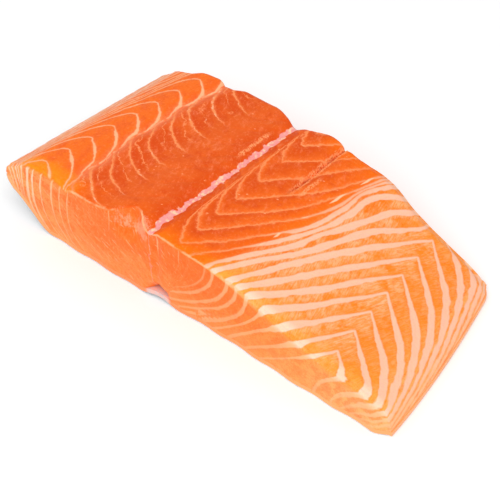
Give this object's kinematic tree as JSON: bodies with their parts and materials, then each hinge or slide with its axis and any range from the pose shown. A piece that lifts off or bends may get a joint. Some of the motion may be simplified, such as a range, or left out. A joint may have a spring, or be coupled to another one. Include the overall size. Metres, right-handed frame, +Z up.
{
  "type": "skin-on salmon fillet",
  "caption": "Raw skin-on salmon fillet portion, a thick back sloping to a thin belly edge, lying on its skin.",
  "frame": {"origin": "centre of the bounding box at the level of the skin's flat underside", "axes": "+X across the fish from the back edge to the belly edge, +Y along the fish from the near cut to the far cut, +Z up out of the flesh"},
  "size_m": [0.1278, 0.059, 0.0252],
  "materials": {
    "flesh": "moist raw salmon flesh, orange with pale fat seams",
    "skin": "thin silver-grey fish skin, darker towards the back"
  },
  "bodies": {
    "root": {"flesh": "flesh", "skin": "skin"}
  },
  "joints": []
}
